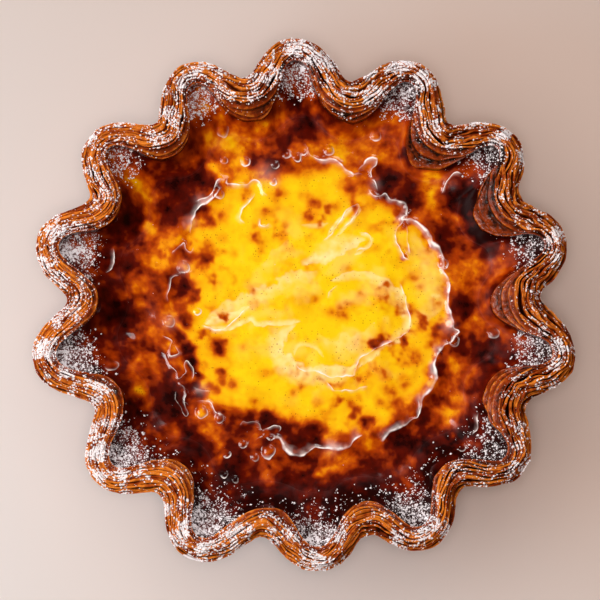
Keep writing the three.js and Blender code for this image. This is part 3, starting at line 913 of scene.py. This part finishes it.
class TART_OT_pastry(bpy.types.Operator):
    """Make the fluted wall and the leaves of the laminated rim"""

    bl_idname = "tart.pastry"
    bl_label = "Pastry case"

    def execute(self, context):
        settings = context.scene.tart_pastry
        material = puff_pastry(settings)
        self.add_shell(settings, material)
        rim = Rim(settings, LEAF_COLUMNS)
        crown = self.crown_leaves(settings, rim)
        half = CROWN_LEAVES // 2
        self.add_leaves("rim_leaves_outer", rim, crown[:half], material)
        self.add_leaves("rim_leaves_inner", rim, crown[half:], material)
        self.add_leaves("rim_terraces", rim, self.smooth_leaves(rim), material)
        return {"FINISHED"}

    def crown_leaves(self, settings, rim):
        """The torn leaves of the crown, from the outside in.

        Noise along the rim gives each leaf a thickness and each gap an openness, so that gaps are lenses,
        widest in the notches. All are then scaled to fill the crown's width. Edges wander, crinkle, rise and
        fall by noise, and are chipped where a finer noise is high. The crown falls off outwards by a smooth
        step.
        """
        x, y = rim.shifted(0)
        outer, inner = settings.crown_outer / MM, rim.inner_edges()[0]
        layer = LEAF_STEP * np.arange(CROWN_LEAVES)[:, None]
        fine = np.cos(rim.bearing - FINE_LEAVES_SIDE)
        shut = smoothstep(0.6, 0.95, np.cos(rim.bearing - SHUT_GAPS_SIDE))
        thick = np.clip(1 + 0.7 * noise(x, y, layer, 6, 100, 2), 0.3, None)
        openness = 1.2 * noise(x, y, layer + 20, 7, 140, 2) - 0.45 - 0.2 * fine + 0.4 * rim.notch - 0.7 * shut
        gap = 1.6 * np.clip(openness, 0.04, 0.35)
        gap[-1] = 0
        scale = (outer - inner) / (thick + gap).sum(0)
        pitch = (thick + gap) * scale
        wander = (0.22 - 0.14 * fine) * noise(x, y, layer / 12, 5, 150, 2)
        crinkle = (0.14 - 0.1 * rim.notch) * noise(x, y, layer, 1.4, 160)
        far = outer - (np.cumsum(pitch, 0) - pitch) + wander + crinkle
        near = far - thick * scale
        middle = (far + near) / 2
        uneven = (0.2 + 0.3 * rim.notch) * noise(x, y, layer, 8, 180, 2)
        chips = smoothstep(0.3, 0.9, noise(x, y, layer, 2.6, 195, 2)) * (0.55 - 0.45 * fine)
        torn = 0.12 * noise(x, y, layer, 1.2, 190, 2) - 0.5 * chips
        crown = settings.rim_height / MM - 0.6 - 2.3 * smoothstep(0.9, 3.3, middle) ** 1.3
        varied = {
            "far": far,
            "near": near,
            "top": crown - 0.4 * smoothstep(-1, -2.4, middle) + uneven + torn,
            # Painted light and shade: leaves and chipped places that stand lower are darker, and leaves are a
            # little lighter on the fine side, which faces the lights
            "tone": 0.24 - 0.05 * fine + 0.35 * noise(x, y, layer, 8, 200, 3) - 0.4 * uneven + 0.3 * chips,
            "tilt": 0.7 * noise(x, y, layer, 6, 210),
            "lean": 0.4 * smoothstep(-1.5, 3, middle),
            "crack": (0.3 - 0.25 * fine) * np.clip(noise(x, y, layer, 5, 220, 2), 0, 1),
        }
        shared = {"gloss": 0.15, "round": 0.4, "lip": 0, "deep": 0, "streaky": 0.2, "flake": 1}
        return [{**shared, "bare": 0.7 * (k == 0), **{name: values[k] for name, values in varied.items()}}
                for k in range(CROWN_LEAVES)]

    def smooth_leaves(self, rim):
        """The smooth inner leaf and the terraces under it, each sloping down to its inner edge."""
        x, y = rim.shifted(-4)
        pale = np.cos(rim.bearing - PALE_TERRACES_SIDE)
        torn, *inner = rim.inner_edges()
        far = torn + 0.3
        shared = {"tilt": 0.9, "lean": 0, "round": 0.12, "lip": 0.2, "deep": 0.34, "streaky": 0.1,
                  "flake": 1.1, "bare": 0}
        leaves = []
        for k, near in enumerate(inner):
            layer = LEAF_STEP * k + 400
            near = near + (0.2 + 0.4 * rim.notch * k) * noise(x, y, layer, 11, 220, 3)
            step_down = 1.75 * np.minimum(near - TERRACE_START, 0.2)
            lip = LIP_HEIGHT + step_down + 0.4 * noise(x, y, layer, 9, 230, 2)
            leaves.append({
                "far": far,
                "near": near,
                "top": lip + 0.45 * (far - near),
                # Painted light: the terraces are lighter on the side facing the lights
                "tone": 0.4 - 0.15 * pale + 0.04 * k + 0.2 * noise(x, y, layer, 5, 240, 3),
                "crack": 0.15 * smoothstep(0, 0.8, noise(x, y, layer, 6, 245, 2)),
                "gloss": 0.62 + 0.19 * k,
                **shared,
            })
            far = near + 0.5
        return leaves

    def add_leaves(self, name, rim, leaves, material):
        """Leaves on edge, each a narrow section with a blunt top carried along the rim.

        The top is flat with edges that fall off as the fourth power, and slopes across by its tilt. It may
        have a bell-shaped lip along its inner edge, lightened as a painted highlight, with painted shade
        behind it, and a bell-shaped crack along its middle with painted shade in it. The flanks go down into
        the wall and lean in by its lean, and painted shade darkens them deeper down, but less so on a bare
        outer side. Streaks along the leaf are noise that is stretched along the rim.
        """
        x, y = rim.shifted(0)
        grid = wrapped_faces(LEAF_ACROSS.size, len(rim.t), True)
        most = 0.88 + 0.1 * np.cos(2 * (rim.bearing - SUGARED_SIDES)) - 0.22 * rim.notch
        points, faces, values = [], [], {"bake": [], "gloss": [], "dust": [], "flake": []}
        for index, leaf in enumerate(leaves):
            thick = np.clip(leaf["far"] - leaf["near"], 0.12, None)
            fall = leaf["round"] * thick * LEAF_ACROSS ** 4 + LEAF_FLANKS
            lip = np.exp(-((LEAF_ACROSS + 0.8) / 0.14) ** 2)
            crack = leaf["crack"] * np.exp(-((LEAF_ACROSS - 0.1) / 0.12) ** 2)
            slope = leaf["tilt"] * LEAF_ACROSS * thick / 2
            height = leaf["top"] - fall - crack + slope + leaf["lip"] * lip
            across = (leaf["far"] + leaf["near"]) / 2 + LEAF_ACROSS * thick / 2 - leaf["lean"] * fall
            plan = rim.shifted(across)
            points.append(np.stack([*plan, height], -1).reshape(-1, 3))
            faces.append(grid + index * height.size)
            # Painted shade darkens the far side, under the leaf above, and the crack; the lip is lightened as
            # a painted highlight
            tone = leaf["tone"] + leaf["deep"] * (smoothstep(-0.7, 0.7, LEAF_ACROSS) - 0.5 * lip)
            tone = tone + leaf["streaky"] * noise(x, y, 16 * across, 7, 250, 3) + 1.2 * crack
            # Painted shade darkens the flanks deeper down into the gaps, less so on a bare outer side
            darkest = smoothstep(0.1, 1.3, fall) * (1 - leaf["bare"] * (LEAF_ACROSS > 0))
            dust = np.minimum(1.2 * self.dusting(plan, rim, across, leaf["gloss"]), most)
            values["bake"].append(np.clip(tone + 0.7 * darkest, 0, 1))
            values["gloss"].append(np.full_like(height, leaf["gloss"]))
            values["dust"].append(dust * smoothstep(0.5, 0.15, fall))
            values["flake"].append(np.full_like(height, leaf["flake"]))
        faces = np.vstack(faces).tolist()
        add_piece(name, np.vstack(points), faces, values, material, "pastry_case")

    def dusting(self, plan, rim, across, gloss):
        """How thickly fine sugar lies: in drifts, most in lobes and on two sides, least on shiny leaves."""
        drifts = smoothstep(-0.8, 1, noise(*plan, 0, 4, 301, 4))
        inside = 0.6 * loop_through(POCKET_SUGAR, rim.t) * (1 - rim.notch) ** 2 * smoothstep(2, -1, across)
        sides = 1.25 + 0.2 * np.cos(2 * (rim.bearing - SUGARED_SIDES))
        sides = sides + 0.1 * np.cos(rim.bearing - POWDERED_SIDE) + 0.4 * far_right_drift(rim.bearing)
        return drifts * (sides * (1.15 - 0.65 * rim.notch) * max(0, 1 - 1.4 * gloss) + inside)

    def add_shell(self, settings, material):
        """The wall, foot and floor: rows blended between rings, up to the leaves and down inside them.

        Blisters push the wall out by noise, but not the foot. The inside, under the leaves, is nearly the
        darkest pastry colour, as painted shade.
        """
        rim = Rim(settings, WALL_COLUMNS)
        radius, flute = rim.radius, rim.depth
        foot, top = settings.foot_radius / MM, settings.rim_height / MM
        torn, smooth = rim.inner_edges()[:2]
        edge, seat = rim.skin_edge()
        section = [
            (foot * 0.5, 0.4, 0, 0),
            (foot - 3, 1.1, 0, 0),
            (foot - 1.6, 1.3, 0, 0),
            (foot - 0.5, 1.45, 0, 0.3),
            (foot, 1.6, 0, 1.1),
            *WALL_RINGS,
            (radius, flute, 2.3, top - 4.2),
            (radius, flute, 1.4, top - 3.4),
            (radius, flute, torn + 0.6, top - 3.4),
            (radius, flute, smooth + 0.8, top - 4.6),
            (radius, flute, edge + 0.3, seat - 1),
            (radius, flute, edge - 0.3, seat - 3),
            *SEAT_RINGS,
        ]
        rows = []
        for start, end in zip(section[:-1], section[1:]):
            wide, _, shift, rise = (np.mean(b) - np.mean(a) for a, b in zip(start, end))
            count = max(1, int(np.hypot(wide + shift, rise) / WALL_ROW))
            for share in np.linspace(0, 1, count, endpoint=False):
                *plan, height = (a + (b - a) * share for a, b in zip(start, end))
                x, y = rim.ring(*plan)
                rows.append(np.stack([x, y, height + 0 * x], -1))
        rings = np.array(rows)
        x, y, z = rings[..., 0], rings[..., 1], rings[..., 2]
        wall = smoothstep(0.6, 3, z) * smoothstep(0, 1, np.hypot(x, y) - 32)
        blister = wall * (0.3 * noise(x, y, z, 6, 201, 2) + 0.1 * noise(x, y, z * 3, 1.8, 205))
        rings[..., :2] += blister[..., None] * rim.outward.T
        points, faces = skin_over(rings, (0, 0, 0), (0, 0, FLOOR_THICKNESS))
        bake = 0.3 + 0.14 * noise(x, y, z, 9, 211, 3) + 0.08 * smoothstep(24, 36, z)
        bake = np.clip(bake + 0.08 * noise(x, y, 6 * z, 5, 215, 3), 0, 1)
        # Painted shade: the inside, under the leaves, is made nearly the darkest pastry
        inside = np.cumsum(z.mean(1) > top - 4.3) > 0
        bake[inside] = 0.95
        count = len(points)
        values = {"bake": np.append(bake, [0.5, 0.5]), "gloss": np.zeros(count), "dust": np.zeros(count),
                  "flake": np.full(count, 0.5)}
        add_piece("pastry_wall", points, faces, values, material, "pastry_case")


class TART_OT_custard(bpy.types.Operator):
    """Make the custard with its browned, glazed skin"""

    bl_idname = "tart.custard"
    bl_label = "Custard"

    def execute(self, context):
        settings = context.scene.tart_custard
        material = glazed_custard(settings)
        self.add_pool(settings, material)
        self.add_skin(settings, context.scene.tart_pastry, material)
        return {"FINISHED"}

    def looks(self, settings, points):
        """The values that the material reads at each point."""
        x, y = points[:, 0], points[:, 1]
        seam, power = glaze_seams(x, y)[:2]
        brown = browning(settings, x, y)
        return {
            "brown": brown,
            "cream": 0.85 * swirl_field(x, y) * smoothstep(0.45, 0.2, brown),
            "seam": seam,
            "seam_power": power,
            # Faint painted sheen in the sheen patches
            "veil": 0.1 * patch_field(SHEEN_PATCHES, x, y),
            "dust": pocket_sugar(x, y),
            "coat": np.ones_like(x),
        }

    def add_pool(self, settings, material):
        """The middle of the skin: a disc of rings that dives under the rest past the crease, closed below."""
        join = settings.pool_radius / MM + JOIN_PAST
        around = 2 * np.pi * np.arange(POOL_COLUMNS) / POOL_COLUMNS
        out = np.linspace(join + JOIN_LAP, 0, POOL_ROWS, endpoint=False)[:, None]
        x, y = POOL_X + out * np.cos(around), POOL_Y + out * np.sin(around)
        dive = JOIN_DIVE * (np.clip(out - join, 0, None) / JOIN_LAP) ** 2
        rings = np.stack([x, y, skin_height(settings, x, y) - dive], -1)
        under = rings[:1] - (0, 0, POOL_DEPTH)
        top = np.array([POOL_X, POOL_Y, rings[-1, :, 2].mean()])
        points, faces = skin_over(np.concatenate([under, rings]), top - (0, 0, POOL_DEPTH), top)
        add_piece("custard_pool", points, faces, self.looks(settings, points), material, "custard")

    def add_skin(self, settings, pastry, material):
        """The rest of the custard: from its foot up the pastry, over the skin's edge and in under the pool.

        The skin climbs to its edge as a power of the way out that is higher in the notches, and dives as a
        square where it runs in under the pool. It is browner near the pastry, most in the corners on the
        right and least on the side facing the lights, which is painted paler. Its glaze is dull near the
        pastry.
        """
        rim = Rim(pastry, SKIN_COLUMNS)
        across, edge_height = rim.skin_edge()
        edge = rim.shifted(across)
        join = settings.pool_radius / MM + JOIN_PAST
        inner = np.array([[POOL_X], [POOL_Y]]) + (join - JOIN_LAP) * rim.outward
        share = np.linspace(1, 0, SKIN_ROWS)[:, None]
        x, y = (start + (end - start) * share for start, end in zip(inner, edge))
        z = skin_height(settings, x, y)
        dive = JOIN_DIVE * (np.clip(join - np.hypot(x - POOL_X, y - POOL_Y), 0, None) / JOIN_LAP) ** 2
        z = z + (edge_height - z[:1]) * share ** (2.2 + 2.8 * rim.notch) - dive
        low = []
        for radius, flute, height in CUSTARD_RINGS:
            plan = rim.ring(radius, flute, -CUSTARD_GAP)
            low.append(np.stack([*plan, np.full_like(plan[0], height)], -1))
        sunk = settings.level / MM - 3
        under = [np.stack([*(inner * way), np.full_like(inner[0], sunk)], -1) for way in (1.0, 0.6)]
        rings = np.concatenate([low, np.stack([x, y, z], -1), under])
        points, faces = skin_over(rings, (0, 0, CUSTARD_FOOT), (0, 0, sunk))
        values = self.looks(settings, points)
        # Painted light: the skin's edge is paler on the side facing the lights
        pale = smoothstep(-0.1, 0.7, np.cos(rim.bearing - PALE_SKIN_SIDE))
        corner = (1 - rim.notch) * smoothstep(-0.3, 0.6, np.cos(rim.bearing))
        baked = (0.2 - 0.17 * pale) * smoothstep(0.5, 1, share)
        baked = baked + 0.22 * corner * smoothstep(0.65, 0.95, share)
        on_top = slice(len(low) * SKIN_COLUMNS, (len(low) + SKIN_ROWS) * SKIN_COLUMNS)
        values["brown"][on_top] += baked.ravel()
        values["coat"][on_top] -= smoothstep(0.3, 0.5, share - 0.1 * rim.notch).ravel()
        add_piece("custard_skin", points, faces, values, material, "custard")


class TART_OT_icing_sugar(bpy.types.Operator):
    """Scatter clumps of icing sugar over the rim and into its pockets"""

    bl_idname = "tart.icing_sugar"
    bl_label = "Icing sugar"

    def execute(self, context):
        settings = context.scene.tart_sugar
        draw = np.random.default_rng(settings.seed)
        pastry = [self.read(name) for name in ("rim_leaves_outer", "rim_leaves_inner", "rim_terraces")]
        on_pastry = self.choose(draw, np.vstack(pastry), self.rim_weight, settings.on_pastry)
        on_custard = self.choose(draw, self.read("custard_skin"), self.pocket_weight, settings.on_custard)
        self.add_grains(settings, draw, np.vstack([on_pastry, on_custard]))
        return {"FINISHED"}

    def read(self, name):
        """Place, in millimetres, and normal of each of a piece's points."""
        mesh = bpy.data.objects[name].data
        places = np.empty(len(mesh.vertices) * 3, np.float32)
        normals = np.empty(len(mesh.vertices) * 3, np.float32)
        mesh.vertices.foreach_get("co", places)
        mesh.vertex_normals.foreach_get("vector", normals)
        return np.hstack([places.reshape(-1, 3) / MM, normals.reshape(-1, 3)]).astype(float)

    def choose(self, draw, spots, weigh, count):
        """Draws that many of the spots, each as likely as its weight by place and by how it faces up."""
        x, y, z, _, _, facing = spots.T
        weight = weigh(x, y, z, facing)
        return spots[draw.choice(len(spots), count, replace=False, p=weight / weight.sum())]

    def rim_weight(self, x, y, z, facing):
        """More where the pastry faces up and stands high, on the lobes, on two sides, and in drifts."""
        bearing = np.arctan2(y, x)
        drifts = smoothstep(-0.5, 0.8, noise(x, y, 0, 4, 301, 4)) ** 2
        sides = 1.1 + 0.15 * np.cos(2 * (bearing - SUGARED_SIDES))
        sides = sides + 0.2 * np.cos(bearing - CLUMPED_SIDE) + 0.6 * far_right_drift(bearing)
        lobe = 1 + 0.35 * np.cos(FLUTES * (bearing - np.radians(FIRST_LOBE_DEG)))
        return smoothstep(0.4, 0.9, facing) * (0.12 + drifts) * sides * lobe * smoothstep(32.5, 36.7, z)

    def pocket_weight(self, x, y, z, facing):
        """As thick as the powder in the pockets, in clumps, where the skin isn't steep."""
        clumps = smoothstep(-0.2, 0.6, noise(x, y, 0, 1.2, 421, 2))
        return smoothstep(0.2, 0.7, facing) * pocket_sugar(x, y) ** 1.3 * (0.06 + clumps ** 2)

    def add_grains(self, settings, draw, spots):
        """Flat eight-sided clumps of uneven size that lie on the surface, tilted and spun at random."""
        count = len(spots)
        size = settings.grain / MM * np.exp(np.clip(0.6 * draw.standard_normal((count, 1, 1)), None, 1))
        shape = CLUMP_CORNERS * size * draw.uniform(0.7, 1.3, (count, 1, 3))
        up = spots[:, 3:] + (0, 0, 0.5) + draw.normal(0, 0.3, (count, 3))
        up /= np.linalg.norm(up, axis=1, keepdims=True)
        first = np.cross(up, draw.standard_normal((count, 3)))
        first /= np.linalg.norm(first, axis=1, keepdims=True)
        axes = np.stack([first, np.cross(up, first), up], 1)
        shake = draw.uniform(-0.12, 0.12, (count, 3)) * (1, 1, 0)
        centres = spots[:, :3] + spots[:, 3:] * size[:, 0] * 0.3 + shake
        points = (shape @ axes + centres[:, None]).reshape(-1, 3)
        faces = CLUMP_FACES + len(CLUMP_CORNERS) * np.arange(count)[:, None, None]
        faces = faces.reshape(-1, 3).tolist()
        add_piece("icing_sugar", points, faces, {}, icing_sugar(settings))


class TART_PT_sidebar(bpy.types.Panel):
    """Lists the steps that build the tart"""

    bl_idname = "TART_PT_sidebar"
    bl_label = "Custard tart"
    bl_space_type = "VIEW_3D"
    bl_region_type = "UI"
    bl_category = "Tart"

    def draw(self, context):
        for step in STEPS:
            self.layout.operator(step.bl_idname)


STEPS = (TART_OT_stage, TART_OT_pastry, TART_OT_custard, TART_OT_icing_sugar)
SETTINGS = {"tart_pastry": PastrySettings, "tart_custard": CustardSettings, "tart_sugar": SugarSettings,
            "tart_stage": StageSettings}


def register():
    for item in (*SETTINGS.values(), *STEPS, TART_PT_sidebar):
        bpy.utils.register_class(item)
    for name, group in SETTINGS.items():
        setattr(bpy.types.Scene, name, bpy.props.PointerProperty(type=group))


def unregister():
    for name in SETTINGS:
        delattr(bpy.types.Scene, name)
    for item in reversed((*SETTINGS.values(), *STEPS, TART_PT_sidebar)):
        bpy.utils.unregister_class(item)


def main():
    """Builds the tart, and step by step."""
    register()
    bpy.ops.tart.stage()
    bpy.ops.tart.pastry()
    bpy.ops.tart.custard()
    bpy.ops.tart.icing_sugar()


if __name__ == "__main__":
    main()
